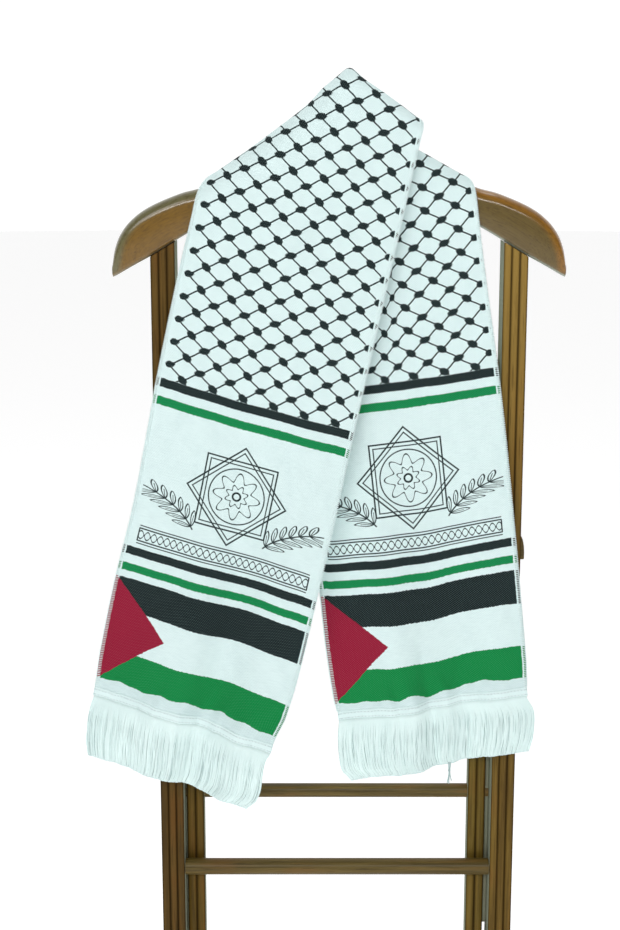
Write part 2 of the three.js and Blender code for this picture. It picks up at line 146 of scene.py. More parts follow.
# ---------- pattern, mm up from the woven hem ----------
BANDS = chart(
    "from to colour",
    (10.0, 44.5, "green"),
    (89.8, 125.2, "black"),
    (132.8, 141.3, "stripe"),
    (150.9, 159.8, "black"),
    (310.3, 319.0, "stripe"),
    (328.4, 337.2, "black"),
)
TRIANGLE = {"low": 10.0, "high": 125.0, "edge": 1.5, "apex": 64.0}
# full diagonals of a cell, one knot's place on the left panel, how far off that place it is on
# the right panel, and the height where the net starts
NET = {"across": 31.8, "along": 23.0, "knot": (9.6, 352.5), "other": -3.4, "start": 337.2}
# how far the pattern has bowed along the cloth, by height up from the hem and by share across
BOW_SHARES = (0, 0.15, 0.3, 0.45, 0.6, 0.75, 0.9, 1)
BOW = {
    "left": {
        10: (-1.1, -1.0, -1.6, -1.6, -0.2, -2.9, -0.7, 1.2),
        95: (2.0, 1.0, 0.0, 1.9, 3.7, 0.5, 1.9, 3.3),
        155: (4.0, 4.0, 3.4, 3.8, 5.7, 2.9, 3.4, 5.0),
        325: (4.9, 6.2, 7.1, 7.6, 6.8, 6.6, 5.6, 5.7),
    },
    "right": {
        10: (-0.6, -2.3, -0.4, 4.0, 1.6, 1.9, 2.6, 0.1),
        95: (-1.5, -2.2, 1.4, 5.3, 3.4, 1.1, 0.5, -1.6),
        155: (-2.1, -0.7, 2.9, 5.1, 2.6, 1.3, 1.8, -0.3),
        325: (-0.6, 0.6, 1.4, 1.2, 1.0, 0.8, 0.4, 0.0),
    },
}

# ---------- small maths ----------


def lerp(a, b, t):
    return a + (b - a) * t


def smooth(start, end, value):
    t = np.clip((value - start) / (end - start), 0, 1)
    return t * t * (3 - 2 * t)


def unit(vectors):
    return vectors / np.maximum(np.linalg.norm(vectors, axis=-1, keepdims=True), 1e-9)


def wander(x, seed):
    """Smooth one-dimensional noise between about -1 and 1."""
    draw = np.random.default_rng(seed)
    total = np.zeros_like(np.asarray(x, float))
    for k in range(1, 7):
        total += np.sin(x * k * draw.uniform(0.7, 1.3) + draw.uniform(0, TAU)) / k**0.6
    return total / 2.2


# ---------- scarf: form ----------


def ridge_height(side, x):
    """Height of the line over which a panel bends, its corners eased."""
    line = np.array(side["ridge"], float)
    shares = (-1, -0.5, 0, 0.5, 1)
    total = 0
    for share in shares:
        at = np.asarray(x, float) + share * RIDGE_REACH
        i = np.clip(np.searchsorted(line[:, 0], at) - 1, 0, len(line) - 2)
        t = (at - line[i, 0]) / (line[i + 1, 0] - line[i, 0])
        total = total + lerp(line[i, 1], line[i + 1, 1], t)
    return total / len(shares)


def through(pairs, u):
    """Smooth curve through pairs of (u, shift), level at both of its ends."""
    places, shifts = np.array(list(pairs), float).T
    slopes = np.zeros(len(places))
    slopes[1:-1] = (shifts[2:] - shifts[:-2]) / (places[2:] - places[:-2])
    at = np.clip(u, places[0], places[-1])
    i = np.clip(np.searchsorted(places, at) - 1, 0, len(places) - 2)
    span = places[i + 1] - places[i]
    t = (at - places[i]) / span
    ease = t * t * (3 - 2 * t)
    bends = slopes[i] * t * (1 - t) ** 2 - slopes[i + 1] * t * t * (1 - t)
    return lerp(shifts[i], shifts[i + 1], ease) + bends * span


def panel_point(side, u, v):
    """Point of a front panel, u up from the hem and v across, in mm."""
    u, v = np.broadcast_arrays(np.asarray(u, float), np.asarray(v, float))
    across = v / WIDTH
    if side is RIGHT:
        pull = smooth(GATHER["start"], GATHER["end"], u)
        kept = lerp(1, GATHER["keep"], pull)
        gathered = (GATHER["from"] + (v - GATHER["from"]) * kept) / WIDTH
        across = np.where(v > GATHER["from"], gathered, across)
    edges = []
    for hem, top, length, sway in zip(*(side[k] for k in ("hem", "top", "length", "sway"))):
        line = lerp(np.array(hem), np.array(top), (u / length)[..., None])
        line[..., 0] += through(sway, u)
        edges.append(line)
    p = lerp(*edges, across[..., None])
    calm = smooth(0, 60, u) * (1 - smooth(330, 470, u))
    turn = v / WAVE["across"] * math.pi + u / WAVE["along"] + side["wave_phase"]
    p[..., 1] += WAVE["forward"] * calm * np.sin(turn)
    return p


def relief(side, u, v):
    """How far the cloth's folds and puckers stand forward of its even form."""
    out = np.zeros(np.broadcast(u, v).shape)
    for fold in FOLDS[side["name"]]:
        middle = lerp(fold["hem"], fold["up"], np.clip(u, 0, FOLD_UP) / FOLD_UP)
        here = np.exp(-(((v - middle) / fold["half"]) ** 2))
        fade = 1 - smooth(lerp(fold["from"], fold["to"], 0.45), fold["to"], u)
        if fold["from"] > 0:
            fade = fade * smooth(fold["from"], fold["from"] + 60, u)
        out += fold["forward"] * here * fade
    for place, forward in PUCKERS[side["name"]]:
        middle = place + PUCKER["lean"] * np.maximum(u, 0)
        near = np.exp(-(((v - middle) / PUCKER["half"]) ** 2))
        near = near * np.exp(-((u - PUCKER["above"]) ** 2) / PUCKER["spread"])
        out += PUCKER["forward"] * forward * near
    return out


# every thread crosses its ridge between these lengths up from the hem
CROSSING = (380.0, 760.0)


def column_bend(side, v):
    """For each lengthwise thread v: where it starts to bend over the ridge, and how."""
    low, high = (np.full(v.shape, length) for length in CROSSING)
    for _ in range(40):  # halves the stretch of thread that crosses the ridge
        mid = (low + high) / 2
        p = panel_point(side, mid, v)
        under = p[:, 2] < ridge_height(side, p[:, 0])
        low = np.where(under, mid, low)
        high = np.where(under, high, mid)
    back, reach = 10, 14  # lengths over which the thread's and the ridge's directions are taken
    at = panel_point(side, low, v)
    before = panel_point(side, low - back, v)
    rise = ridge_height(side, at[:, 0] + reach) - ridge_height(side, at[:, 0] - reach)
    along = unit(np.stack([np.full(v.shape, 2.0 * reach), rise], -1))
    out = np.stack([-along[:, 1], along[:, 0]], -1)
    run = (at - before)[:, [0, 2]] / back
    least = 0.35  # share of a thread's run that is taken to cross the ridge at the least
    out_run = np.maximum(least, (run * out).sum(-1))
    along_run = (run * along).sum(-1)
    behind = BEHIND["high"]
    if side is LEFT:
        behind = lerp(BEHIND["high"], BEHIND["low"], smooth(*BEHIND["threads"], v))
    radius = (behind - at[:, 1]) / 2
    beyond = SLIDE["beyond"] + np.maximum(0, BAND_V - v)
    away = np.abs(v - APEX_V) if side is LEFT else beyond
    aside = panel_point(side, low, v + 1) - panel_point(side, low, v - 1)
    return {
        "along": along,
        "out": out,
        "radius": radius,
        "start": low - radius / out_run,
        "slide": along_run / out_run,
        "share": np.clip(away / SLIDE["over"], 0, 1),
        "up": run,
        "aside": aside[:, [0, 2]] / 2,
    }


def bend_moves(bend, angle):
    """Length turned, rise and sideways shift round the bend; angle is (rows, columns)."""
    turned = np.minimum(angle, math.pi)
    lift = bend["radius"] * (np.sin(turned) - np.maximum(0, angle - math.pi))
    shift = bend["slide"] * lerp(lift, bend["radius"] * turned, bend["share"])
    return bend["radius"] * turned, lift, shift


def bend_point(side, v, bend, angle):
    """Points past the start of the bend, by the angle turned; angle is (rows, columns)."""
    base = panel_point(side, bend["start"], v)
    turned = np.minimum(angle, math.pi)
    _, lift, shift = bend_moves(bend, angle)
    moved = base[:, [0, 2]] + bend["out"] * lift[..., None] + bend["along"] * shift[..., None]
    y = base[:, 1] + bend["radius"] * (1 - np.cos(turned))
    return np.stack([moved[..., 0], y, moved[..., 1]], -1)


def crossed(a, b):
    return a[..., 0] * b[..., 1] - a[..., 1] * b[..., 0]


def laid_flat(bend, angle):
    """How far up and across the cloth lies round the bend, as if it were rolled out flat."""
    turned, _, shift = bend_moves(bend, angle)
    moved = turned[..., None] * bend["out"] + shift[..., None] * bend["along"]
    up, aside = bend["up"], bend["aside"]
    area, least = crossed(up, aside), 0.3
    area = np.where(np.abs(area) < least, np.sign(area) * least, area)
    return crossed(moved, aside) / area, crossed(up, moved) / area


FRONT_ROWS = 230
BEND_ROWS = 26
BAND_COLUMNS = 40
columns = np.concatenate(
    [np.linspace(0, BAND_V, BAND_COLUMNS + 1), np.linspace(BAND_V, WIDTH, 46)[1:]]
)


# how far round the ridge a panel turns: left more and right less on the threads past these
TURN = {"more": 0.2, "left": (116, 144), "less": 1.5, "right": (BAND_V, BAND_V + 45)}
# the angle and the threads past which the pattern no longer runs on as if it were laid flat
FLAT = {"angle": 1.8, "left": (BAND_V, BAND_V + 20), "right": (BAND_V - 22, BAND_V)}


def panel_grid(side):
    """Grid of points, rows up the cloth; the length of cloth below each, and its shift aside."""
    bend = column_bend(side, columns)
    u = np.linspace(0, 1, FRONT_ROWS + 1)[:, None] * bend["start"]
    front = panel_point(side, u, columns)
    front[..., 1] -= relief(side, u, columns)
    if side is LEFT:
        full = math.pi + TURN["more"] * smooth(*TURN["left"], columns)
    else:
        full = lerp(math.pi, TURN["less"], smooth(*TURN["right"], columns))
    angle = np.linspace(0, 1, BEND_ROWS + 1)[1:, None] * full
    over = bend_point(side, columns, bend, angle)
    grid = np.concatenate([front, over])
    steps = np.linalg.norm(np.diff(grid[FRONT_ROWS:], axis=0), axis=-1)
    run = u[-1] + np.cumsum(steps, axis=0)
    gain, shift = laid_flat(bend, angle)
    past, near = smooth(FLAT["angle"], math.pi, angle), 1 - smooth(*FLAT[side["name"]], columns)
    kept = 1 - past * near if side is LEFT else (1 - past) * near
    run = lerp(run, u[-1] + gain, kept)
    shift = np.concatenate([np.zeros_like(u), shift * kept])
    return grid, np.concatenate([u, run]), shift


def pattern_run(side, run, v):
    """Height in the woven pattern at a length run of cloth up from the hem."""
    ups = list(BOW[side["name"]])
    bows = [through(zip(BOW_SHARES, bow), v / WIDTH) for bow in BOW[side["name"]].values()]
    out = run + bows[0]
    for k in range(1, len(ups)):
        t = np.clip((run - ups[k - 1]) / (ups[k] - ups[k - 1]), 0, 1)
        out = out + t * (bows[k] - bows[k - 1])
    # near the hem the pattern creeps with each pucker
    creep = relief(side, out, v) - relief(side, np.maximum(out, PUCKER["top"]), v)
    return out - PUCKER["creep"] * creep * (out < PUCKER["top"])


BAND_ROWS = 110


def band_ends(side, grid):
    """Where a panel's bend ends on the threads of the band, and which way it runs there."""
    end = grid[-1, : BAND_COLUMNS + 1]
    v = columns[: BAND_COLUMNS + 1]
    bend = column_bend(side, v)
    before = bend_point(side, v, bend, np.full((1, len(v)), math.pi - 0.05))[0]
    return end, unit(end - before)


def band_grid(left, right):
    """The stretch behind the neck, from the end of one bend to the end of the other."""
    a, a_way = band_ends(LEFT, left)
    b, b_way = band_ends(RIGHT, right)
    pull = np.linalg.norm(b - a, axis=-1, keepdims=True) * 0.75
    t = np.linspace(0, 1, BAND_ROWS + 1)[:, None, None]
    p = a * (2 * t**3 - 3 * t**2 + 1) + a_way * pull * (t**3 - 2 * t**2 + t)
    p = p + b * (3 * t**2 - 2 * t**3) - b_way * pull * (t**3 - t**2)
    v = columns[: BAND_COLUMNS + 1]
    rise = np.sin(math.pi * t[..., 0]) * np.sin(math.pi * v / (2 * BAND_V))
    p[..., 1] += BEHIND["swell"] * rise
    flat = np.sin(math.pi * t[..., 0]) ** 0.8
    soft = 1.3 * np.sin(v / 15 + 1.3 * np.sin(3 * t[..., 0] + 0.5))
    p[..., 1] += flat * soft * smooth(0, 12, v)
    return p


# ---------- meshes ----------

TUBE_SIDES = 5


def mesh_object(name, points, faces, material, weave=None):
    mesh = bpy.data.meshes.new(name)
    moved = np.array(points, float).reshape(-1, 3) + (CENTRE_SHIFT, 0, 0)
    mesh.from_pydata(moved * MM, [], faces)
    mesh.polygons.foreach_set("use_smooth", [True] * len(mesh.polygons))
    if weave is not None:
        made = mesh.attributes.new("weave", "FLOAT_VECTOR", "POINT")
        made.data.foreach_set("vector", np.asarray(weave, np.float32).ravel())
    mesh.materials.append(material)
    mesh.update()
    obj = bpy.data.objects.new(name, mesh)
    scene.collection.objects.link(obj)
    return obj


def grid_normals(grid):
    return unit(np.cross(np.gradient(grid, axis=0), np.gradient(grid, axis=1)))


def shell(name, grid, thickness, material, weave):
    """A closed thin shell on a grid; thickness is one number or one for each point.

    weave holds the three coordinates of the pattern, which the mesh carries for its material.
    """
    rows, cols = grid.shape[:2]
    half = grid_normals(grid) * np.broadcast_to(thickness, (rows, cols))[..., None] / 2
    ids = np.arange(rows * cols).reshape(rows, cols)
    other = ids + rows * cols

    def quads(k):
        return np.stack([k[:-1, :-1], k[1:, :-1], k[1:, 1:], k[:-1, 1:]], -1).reshape(-1, 4)

    def strip(line):
        k, o = ids[line], other[line]
        return np.stack([k[:-1], o[:-1], o[1:], k[1:]], -1)

    first, last = np.s_[:, 0], np.s_[:, -1]
    faces = [quads(ids), quads(other)[:, ::-1], strip(first), strip(last)[:, ::-1]]
    faces = np.concatenate(faces + [strip(0)[:, ::-1], strip(-1)])
    points = np.concatenate([grid + half, grid - half]).reshape(-1, 3)
    a, b, c, d = points[faces].transpose(1, 0, 2)
    if (a * (np.cross(b, c) + np.cross(c, d))).sum() < 0:  # faces look inwards
        faces = faces[:, ::-1]
    flat = np.stack(np.broadcast_arrays(*weave), -1)
    return mesh_object(name, points, faces.tolist(), material, np.concatenate([flat, flat]))


def ring_faces(ids):
    """Faces between rings of points and over both ends; ids is (..., rings, sides)."""
    sides = ids.shape[-1]
    nxt = np.roll(ids, -1, axis=-1)
    quads = np.stack([ids[..., :-1, :], nxt[..., :-1, :], nxt[..., 1:, :], ids[..., 1:, :]], -1)
    caps = [ids[..., 0, ::-1].reshape(-1, sides), ids[..., -1, :].reshape(-1, sides)]
    return quads.reshape(-1, 4).tolist() + np.concatenate(caps).tolist()


def tube_parts(paths, radius, reference):
    """Points and faces of closed tubes; paths is (count, steps, 3)."""
    count, steps = paths.shape[:2]
    way = unit(np.gradient(paths, axis=1))
    a = unit(np.cross(way, np.broadcast_to(reference, paths.shape)))
    b = np.cross(way, a)
    turn = np.arange(TUBE_SIDES) * TAU / TUBE_SIDES
    ring = a[:, :, None] * np.cos(turn)[:, None] + b[:, :, None] * np.sin(turn)[:, None]
    radius = np.broadcast_to(radius, (count, steps))
    points = paths[:, :, None] + ring * radius[:, :, None, None]
    ids = np.arange(count * steps * TUBE_SIDES).reshape(count, steps, TUBE_SIDES)
    return points.reshape(-1, 3), ring_faces(ids)


def tubes(name, parts, material):
    """One mesh from several results of tube_parts."""
    points, faces = [], []
    total = 0
    for some, quads in parts:
        points.append(some)
        faces += [[k + total for k in face] for face in quads]
        total += len(some)
    return mesh_object(name, np.concatenate(points), faces, material)


# ---------- material expressions ----------


def feed(tree, slot, value):
    """Link a Field or a socket to an input, or set a plain value on it."""
    value = getattr(value, "socket", value)
    if isinstance(value, bpy.types.NodeSocket):
        tree.links.new(value, slot)
    else:
        slot.default_value = value


def add_node(tree, kind, inputs=None, **settings):
    node = tree.nodes.new(kind)
    for key, value in settings.items():
        setattr(node, key, value)
    for key, value in (inputs or {}).items():
        feed(tree, node.inputs[key], value)
    return node


class Field:
    """A number worked out by Math nodes, so that patterns read as formulas."""

    def __init__(self, tree, socket):
        self.tree = tree
        self.socket = socket

    def math(self, operation, *others):
        inputs = dict(enumerate((self, *others)))
        node = add_node(self.tree, "ShaderNodeMath", inputs, operation=operation)
        return Field(self.tree, node.outputs[0])

    __add__ = __radd__ = partialmethod(math, "ADD")
    __sub__ = partialmethod(math, "SUBTRACT")
    __mul__ = __rmul__ = partialmethod(math, "MULTIPLY")
    __truediv__ = partialmethod(math, "DIVIDE")
    __neg__ = partialmethod(math, "MULTIPLY", -1.0)
    __abs__ = partialmethod(math, "ABSOLUTE")
    least = partialmethod(math, "MINIMUM")
    most = partialmethod(math, "MAXIMUM")
    sin = partialmethod(math, "SINE")
    cos = partialmethod(math, "COSINE")
    root = partialmethod(math, "SQRT")
    power = partialmethod(math, "POWER")
    nearest = partialmethod(math, "ROUND")
    floor = partialmethod(math, "FLOOR")
    fraction = partialmethod(math, "FRACT")
    angle = partialmethod(math, "ARCTAN2")

    def __rsub__(self, other):
        return -self + other

    def ramp(self, start, end):
        """0 at start, 1 at end, smooth between."""
        inputs = {"Value": self, "From Min": start, "From Max": end}
        node = add_node(self.tree, "ShaderNodeMapRange", inputs, interpolation_type="SMOOTHSTEP")
        return Field(self.tree, node.outputs["Result"])

    def past(self, place, soft):
        """0 below a place and 1 above it, over a soft edge."""
        return self.ramp(place - soft, place + soft)


class Paint:
    """A material's node tree with the few nodes that this object uses."""

    def __init__(self, name):
        self.material = bpy.data.materials.new(name)
        self.material.use_nodes = True
        self.tree = self.material.node_tree
        self.shader = next(n for n in self.tree.nodes if n.type == "BSDF_PRINCIPLED")

    def node(self, kind, inputs=None, **settings):
        return add_node(self.tree, kind, inputs, **settings)

    def place(self, weave=False):
        """The object's coordinates, or the cloth's own ones that its mesh carries."""
        if weave:
            return self.node("ShaderNodeAttribute", attribute_name="weave").outputs["Vector"]
        return self.node("ShaderNodeTexCoord").outputs["Object"]

    def split(self, vector):
        node = self.node("ShaderNodeSeparateXYZ", {0: vector})
        return [Field(self.tree, socket) for socket in node.outputs]

    def join(self, x, y, z=0.0):
        return self.node("ShaderNodeCombineXYZ", {0: x, 1: y, 2: z}).outputs[0]

    def noise(self, vector, scale, detail, rough=0.5):
        inputs = {"Vector": vector, "Scale": scale, "Detail": detail, "Roughness": rough}
        return Field(self.tree, self.node("ShaderNodeTexNoise", inputs).outputs["Fac"])

    def random(self, vector):
        node = self.node("ShaderNodeTexWhiteNoise", {"Vector": vector}, noise_dimensions="2D")
        return Field(self.tree, node.outputs["Value"])

    def layers(self, colour, *coats):
        """Colour with coats of (over, amount) laid on it in turn."""
        for over, amount in coats:
            inputs = {6: colour, 7: over, 0: amount}
            colour = self.node("ShaderNodeMix", inputs, data_type="RGBA").outputs[2]
        return colour

    def bump(self, height, distance, strength):
        inputs = {"Strength": strength, "Distance": distance, "Height": height}
        self.set(Normal=self.node("ShaderNodeBump", inputs).outputs[0])

    def set(self, **values):
        for key, value in values.items():
            feed(self.tree, self.shader.inputs[key.replace("_", " ")], value)


def srgb(*channels):
    """Linear colour from the usual 0 to 255 numbers, opaque."""
    shares = [channel / 255 for channel in channels]
    return (*(c / 12.92 if c <= 0.04045 else ((c + 0.055) / 1.055) ** 2.4 for c in shares), 1)


YARN = {
    "white": srgb(223, 242, 241),
    "pale": srgb(186, 209, 210),
    "black": srgb(0, 8, 10),
    "grey": srgb(112, 134, 134),
    "green": srgb(0, 139, 67),
    "stripe": srgb(4, 140, 76),
    "red": srgb(156, 12, 52),
}


def stroke(distance, half, soft=0.35):
    """1 on a line of the given half width, where distance is 0."""
    return 1 - abs(distance).past(half, soft)


def net_masks(x, y, rim, wobble):
    """The traditional net's slanted lines, and its knots, one at each crossing, leaning by turns."""
    p = (x - NET["knot"][0]) / NET["across"]
    q = (y - NET["knot"][1]) / NET["along"]
    a0, b0 = p + q, p - q
    a = a0 + (b0 * TAU).sin() * 0.02
    b = b0 - (a0 * TAU).sin() * 0.02
    scale = 1 / math.hypot(1 / NET["across"], 1 / NET["along"])
    near_a, near_b = a0 - a0.nearest(), b0 - b0.nearest()
    line_a = stroke((a - a.nearest()) * scale + wobble * 0.4, 0.74, 0.2)
    line_b = stroke((b - b.nearest()) * scale - wobble * 0.4, 0.74, 0.2)
    dx = (near_a + near_b) * (NET["across"] / 2)
    dy = (near_a - near_b) * (NET["along"] / 2)
    odd = ((a0.nearest() + b0.nearest()) * 0.5).fraction() * 2.0
    turn = 0.27 - odd * 0.77
    along = (dx * turn.cos() + dy * turn.sin()) * (1.35 - rim.ramp(12, 14) * 0.35)
    over = dy * turn.cos() - dx * turn.sin()
    size = abs(along / (5.9 - odd * 0.5)).power(odd * 0.45 + 1.7)
    size = size + abs(over / (odd * 0.25 + 3.45)).power(2.0)
    steps = ((dy * 0.6 + dx) * (TAU / 1.7)).sin() * 0.16
    knots = 1 - (size + wobble * 0.3 + steps).ramp(0.9, 1.06)
    above = y.past(NET["start"], 0.3)
    return line_a.most(line_b) * rim.ramp(7.4, 8.0) * above, knots * above


def any_of(mask, *others):
    """1 where any of the masks is."""
    for other in others:
        mask = mask.most(other)
    return mask


def star_lines(x, y, reach, half):
    """Two crossed squares, as a star with eight points."""
    square = abs(x).most(abs(y)) - reach / math.sqrt(2)
    turned = (abs(x) + abs(y) - reach) * (1 / math.sqrt(2))
    return stroke(square, half).most(stroke(turned, half))


def spray(x, y):
    """A curved stem with paired, veined leaves, up and to the right of the origin."""
    turn = math.radians(52)
    along = x * math.cos(turn) + y * math.sin(turn)
    over = y * math.cos(turn) - x * math.sin(turn)
    over = over + along * along * 0.0075
    inside = along.ramp(0, 1) * (1 - along.ramp(61, 62))
    stem = stroke(over, 0.75) * inside
    pitch = 9.0
    step = (along - abs(over) * 0.95) / pitch
    place = (step - step.floor()) * pitch - pitch / 2
    reach = abs(over)
    leaf = abs(place) - (reach * (13.5 - reach)).most(0.0) * 0.062
    outline = stroke(leaf, 0.65) * reach.ramp(0.2, 0.6) * (1 - reach.ramp(13.0, 13.6))
    vein = stroke(place, 0.42) * reach.ramp(0.4, 0.8) * (1 - reach.ramp(9.0, 9.6))
    held = step.floor() * pitch
    whole = held.ramp(-1, 0) * (1 - held.ramp(53, 54))
    return stem.most(outline.most(vein) * whole)


STAR = {"up": 240.0, "reach": 52, "inner": 46.5}
BORDER = {"up": 174.0, "half": 90.0, "wave": 14}


def ornament_mask(x, y):
    """A star medallion between leaf sprays, over a braided border."""
    cx, cy = x - WIDTH / 2, y - STAR["up"]
    side = abs(cx)
    radius = (cx * cx + cy * cy).root()
    lobes = (cy.angle(cx) * 8).cos()
    lines = any_of(
        star_lines(cx, cy, STAR["reach"], 0.8),
        star_lines(cx, cy, STAR["inner"], 0.6),
        stroke(radius - 20 - lobes * 4.5, 0.72),
        stroke(radius - 10 + lobes * 2, 0.65),
        stroke(radius - 29, 0.65),
        stroke(radius - 4, 1.0),
        spray(side - 37, cy + 46),
    )
    base = y - BORDER["up"]
    braid = (cx * (TAU / BORDER["wave"])).sin() * 4.2
    eyes = stroke(((cx / 7 - (cx / 7).nearest()) * 7), 0.9) * stroke(base, 0.9)
    rails = stroke(abs(base) - 6.6, 0.7).most(stroke(abs(base) - 9.4, 0.55))
    border = any_of(stroke(base - braid, 0.7), stroke(base + braid, 0.7), rails, eyes)
    border = border * (1 - side.ramp(BORDER["half"], BORDER["half"] + 0.6))
    ends = stroke(side - BORDER["half"], 0.7) * (1 - abs(base).ramp(6.6, 7.2))
    return any_of(lines, border, ends) * (1 - side.ramp(96.0, 96.6))


THREAD = 0.95  # between threads, mm
SHARP = 0.2  # half the softness of a woven edge
TWILL = {"pitch": 2.2, "float": 1.7}
COTTON = {"Sheen_Weight": 0.04, "Sheen_Roughness": 0.5, "Specular_IOR_Level": 0.05}


def cloth_material():
    paint = Paint("jacquard_cloth")
    where = paint.place(weave=True)
    x, y, across = paint.split(where)

    # woven edges step from thread to thread
    jag = paint.random(paint.join((x / THREAD).floor(), 0.0)) - 0.5
    side_jag = paint.random(paint.join((y / THREAD).floor(), 7.0)) - 0.5
    drift = paint.noise(where, 0.03, 2.0) - 0.5
    level = y + jag * 0.7 + drift * 1.6
    fuzz = paint.noise(where, 0.9, 1.0) - 0.5

    rim = x.least(WIDTH - x)
    outermost = rim.ramp(0.1, 0.4)
    inside = (rim + side_jag * 0.5).ramp(3.9, 4.3).most(outermost * (1 - rim.ramp(2.3, 2.7)))
    masks = {}
    for band in BANDS:
        mask = level.past(band["from"], SHARP) * (1 - level.past(band["to"], SHARP)) * inside
        known = masks.get(band["colour"])
        masks[band["colour"]] = mask if known is None else known.most(mask)

    middle = (TRIANGLE["low"] + TRIANGLE["high"]) / 2
    slope = (TRIANGLE["apex"] - TRIANGLE["edge"]) / (TRIANGLE["high"] - middle)
    reach = x + abs(level - middle) * slope
    triangle = 1 - (reach + side_jag * 0.5).past(TRIANGLE["apex"], 0.3)
    triangle = triangle * level.past(TRIANGLE["low"], SHARP) * outermost

    lines, knots = net_masks(across, y, rim, fuzz + jag * 0.25)
    dark = any_of(lines, knots * inside, ornament_mask(x, y), masks["black"])

    # twill: slanted lines of small lighter floats in the coloured yarn
    slant = ((x + y) * (TAU / TWILL["pitch"]) + fuzz * 1.2).sin() * 0.5 + 0.5
    floats = ((x * 0.45 - y) * (TAU / TWILL["float"])).sin() * 0.5 + 0.5
    twill = slant * (0.45 + floats * 0.55)
    patchy = paint.noise(where, 0.05, 3.0)
    slub = paint.noise(paint.join(x * 0.12, y * 0.9), 1.0, 2.0)

    # painted shade: the woven hem below the green band is darkened towards the pale yarn, as the shade
    # of its gathers
    hem = 1 - level.ramp(8.5, 10.5)
    shaded = twill * 0.5 + (patchy - 0.5) * 0.4 + (slub - 0.5) * 0.7 + hem * 0.3
    dyed = any_of(dark, masks["green"], masks["stripe"], triangle)
    float_shows = twill.ramp(0.3, 0.9)
    only_dark = dark * (1 - triangle)
    bright = dyed - only_dark
    colour = paint.layers(
        YARN["white"],
        (YARN["pale"], shaded),
        (YARN["green"], masks["green"]),
        (YARN["stripe"], masks["stripe"]),
        (YARN["black"], dark),
        (YARN["red"], triangle),
        (YARN["grey"], float_shows * only_dark * 0.52),
        (YARN["pale"], float_shows * bright * 0.1),
        (YARN["black"], (1 - float_shows) * bright * 0.2),
    )
    paint.bump(twill + dyed * 0.35 + fuzz * 0.3, 0.00022, 0.8)
    paint.set(Base_Color=colour, Roughness=0.85, **COTTON)
    return paint.material


def yarn_material(name, tone, shade, scale, seamed=False):
    """White cotton with a fine twist, darker in patches and, on a tape, with painted shade along the
    dents of its two seams.
    """
    paint = Paint(name)
    where = paint.place()
    patchy = paint.noise(where, 45.0, 3.0)
    fine = paint.noise(where, scale, 2.0)
    coats = [(srgb(*shade), (patchy - 0.35) * 0.9 + (fine - 0.5) * 0.5)]
    if seamed:
        _, y, _ = paint.split(paint.place(weave=True))
        # painted shade in the dents along the tape's two rows of stitches
        seams = any_of(*(stroke(y + drop, 0.45) for drop in SEAMS))
        coats.append((srgb(150, 172, 173), seams * 0.5))
    paint.bump(fine, 0.0002, 0.8)
    paint.set(Base_Color=paint.layers(srgb(*tone), *coats), Roughness=0.9, **COTTON)
    return paint.material


def wood_material(name, tones, along, reeds=None, gloss=0.08, painted_top_light=0.75):
    """Varnished wood with grain along one axis, painted lighter high up than near the floor, as light
    falling from above.

    Reeds have painted shade in the grooves between them, and dull side faces towards the stand's middle
    painted with a grey-green reflection.
    """
    paint = Paint(name)
    where = paint.place()
    grain, pores = wood_grain(paint, where, along)
    broad = paint.noise(where, 14.0, 2.0)
    dark, mid, light = (srgb(*tone) for tone in tones)
    x, _, z = paint.split(where)
    coats = [
        (dark, (1 - grain.ramp(0.3, 0.62)) * 0.6),
        (light, grain.ramp(0.5, 0.75) * 0.4 + (broad - 0.5) * 0.4),
        (RED_TINGE, (grain * 0.5 + broad * 0.5).ramp(0.5, 0.62) * 0.35),
        # painted light: lighter high up, as if lit from above
        (light, z.ramp(0.6, 1.0) * painted_top_light),
        (dark, pores.ramp(0.56, 0.72) * 0.45),
    ]
    dull = 0.0
    if reeds is not None:
        place = abs(x - reeds["middle"] * MM) * (1 / MM)
        step = (place - reeds["low"]) / reeds["pitch"]
        # painted shade in the grooves between the reeds
        hollow_shade = 1 - abs(step - step.nearest()).ramp(0.0, 0.36)
        # painted reflection: the side face towards the stand's middle is grey-green, as if it mirrored
        # the pale room
        flank_reflection = 1 - place.ramp(reeds["low"] + 0.05, reeds["low"] + 0.3)
        coats += [(HOLLOW_SHADE, hollow_shade * hollow_shade * 0.8), (FLANK_REFLECTION, flank_reflection)]
        dull = hollow_shade.most(flank_reflection)
    finish_wood(paint, paint.layers(mid, *coats), gloss + 0.05, grain, pores, dull)
    return paint.material


def wood_grain(paint, where, along, fine=(210.0, 7.0)):
    """Long soft grain and short fine pores, both stretched along one axis."""

    def stretched(across, lengthwise):
        scale = [across] * 3
        scale[along] = lengthwise
        return paint.node("ShaderNodeMapping", {"Scale": scale, "Vector": where}).outputs[0]

    grain = paint.noise(stretched(*fine), 1.0, 4.0, 0.6)
    return grain, paint.noise(stretched(800.0, 30.0), 1.0, 2.0)


def finish_wood(paint, colour, gloss, grain, pores, dull=0.0):
    rough = (grain - 0.5) * 0.25 + 0.4 + dull * 0.6
    paint.set(Base_Color=colour, Roughness=rough, Specular_IOR_Level=gloss)
    paint.bump(grain * 0.6 + pores * 0.4, 0.0003, 0.5)


